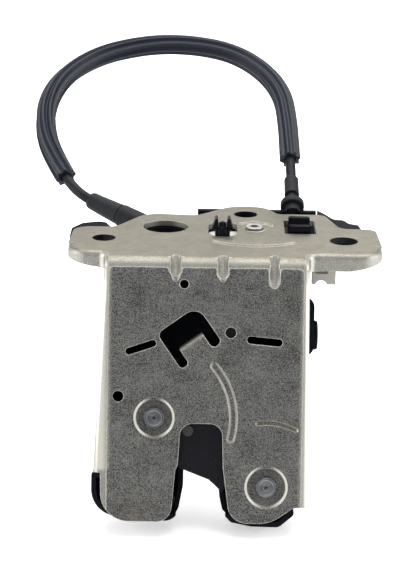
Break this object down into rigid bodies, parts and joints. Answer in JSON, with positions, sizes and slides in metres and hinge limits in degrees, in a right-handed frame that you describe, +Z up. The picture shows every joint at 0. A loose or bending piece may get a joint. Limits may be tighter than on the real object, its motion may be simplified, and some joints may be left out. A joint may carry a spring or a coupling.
{
  "type": "boot lid latch",
  "caption": "Boot lid latch with a turning fork, a pawl, a geared release drive, a micro switch and a release cable.",
  "frame": {"origin": "midway between the two ear holes, on the top face of the flange", "axes": "+X to the right seen from the front, +Y to the rear, +Z up out of the flange"},
  "size_m": [0.1346, 0.1951, 0.1455],
  "materials": {
    "plated_sheet": "zinc plated, fine grain",
    "plated_back": "zinc plated",
    "rivet_steel": "blue-grey plated",
    "screw_steel": "plated",
    "black_moulding": "satin moulded",
    "fork_steel": "hardened, dull",
    "fork_plastic": "smooth moulded",
    "spring_steel": "bare spring wire",
    "gear_plastic": "natural acetal",
    "worm_brass": "turned",
    "motor_steel": "drawn",
    "motor_plastic": "moulded",
    "contact_metal": "tinned",
    "switch_plastic": "moulded",
    "plunger_plastic": "moulded",
    "buffer_rubber": "soft",
    "ivory_plastic": "ivory moulded",
    "cable_black": "extruded",
    "sleeve_charcoal": "ribbed extrusion",
    "boot_rubber": "moulded",
    "collar_plastic": "moulded",
    "wire_steel": "drawn wire"
  },
  "bodies": {
    "latch_frame": {"latch_plate": "plated_sheet", "back_plate": "plated_back", "fork_rivet": "rivet_steel", "pawl_rivet": "rivet_steel", "lever_rivet": "rivet_steel", "release_lever_pin": "rivet_steel", "wheel_axle": "rivet_steel", "cover_screws": "screw_steel", "latch_housing": "black_moulding", "gear_housing": "black_moulding", "gearbox_cover": "black_moulding", "carrier": "black_moulding", "connector_socket": "black_moulding", "fork_spring": "spring_steel", "pawl_spring": "spring_steel", "lever_spring": "spring_steel", "motor_can": "motor_steel", "motor_end_cap": "motor_plastic", "motor_terminals": "contact_metal", "switch_terminals": "contact_metal", "connector_pins": "contact_metal", "switch_case": "switch_plastic", "fork_buffer": "buffer_rubber", "cable_casing": "cable_black", "cable_sleeve": "sleeve_charcoal", "left_boot": "boot_rubber", "right_boot": "boot_rubber", "left_collar": "collar_plastic", "cable_ring": "collar_plastic", "cable_wire": "wire_steel"},
    "fork": {"fork_core": "fork_steel", "fork_jacket": "fork_plastic"},
    "pawl": {"pawl_core": "fork_steel", "pawl_jacket": "fork_plastic"},
    "release_arm": {"release_lever": "fork_steel", "lever_follower": "fork_steel"},
    "wheel": {"release_wheel": "gear_plastic"},
    "worm_shaft": {"worm": "worm_brass", "motor_shaft": "motor_steel"},
    "crank": {"bell_crank": "ivory_plastic", "rod_clip": "black_moulding", "wire_nipple": "wire_steel"},
    "plunger": {"switch_plunger": "plunger_plastic"}
  },
  "joints": [
    {"name": "fork_swing", "type": "hinge", "parent": "latch_frame", "child": "fork", "pos_m": [-0.0238, -0.0325, -0.05612], "axis": [0, -0.9659, 0.2588], "range_deg": [0, 58], "stiffness_Nm_per_rad": 0.06, "springref_deg": -68.75},
    {"name": "wheel_turn", "type": "hinge", "parent": "latch_frame", "child": "wheel", "pos_m": [0.003, -0.00481, -0.04666], "axis": [0, -0.9659, 0.2588], "range_deg": [0, 150]},
    {"name": "worm_spin", "type": "hinge", "parent": "latch_frame", "child": "worm_shaft", "pos_m": [0.003, -0.0008, -0.03169], "axis": [1, 0, 0], "range_deg": [0, 3600]},
    {"name": "release_swing", "type": "hinge", "parent": "latch_frame", "child": "release_arm", "pos_m": [0.0028, -0.01951, -0.02812], "axis": [0, -0.9659, 0.2588], "range_deg": [-14.1, 0]},
    {"name": "pawl_swing", "type": "hinge", "parent": "latch_frame", "child": "pawl", "pos_m": [0.0161, -0.03874, -0.07939], "axis": [0, -0.9659, 0.2588], "range_deg": [0, 14]},
    {"name": "crank_turn", "type": "hinge", "parent": "latch_frame", "child": "crank", "pos_m": [0.0113, 0.014, -0.0042], "axis": [0, 0, 1], "range_deg": [-10, 0]},
    {"name": "plunger_press", "type": "slide", "parent": "latch_frame", "child": "plunger", "axis": [0, 0.2588, 0.9659], "range_m": [0, 0.001], "stiffness_N_per_m": 300, "springref_m": -0.001}
  ],
  "couplings": [
    {"joint": "worm_spin", "follows": "wheel_turn", "ratio": 24},
    {"joint": "release_swing", "follows": "wheel_turn", "ratio": -0.094},
    {"joint": "pawl_swing", "follows": "wheel_turn", "ratio": 0.093333}
  ]
}
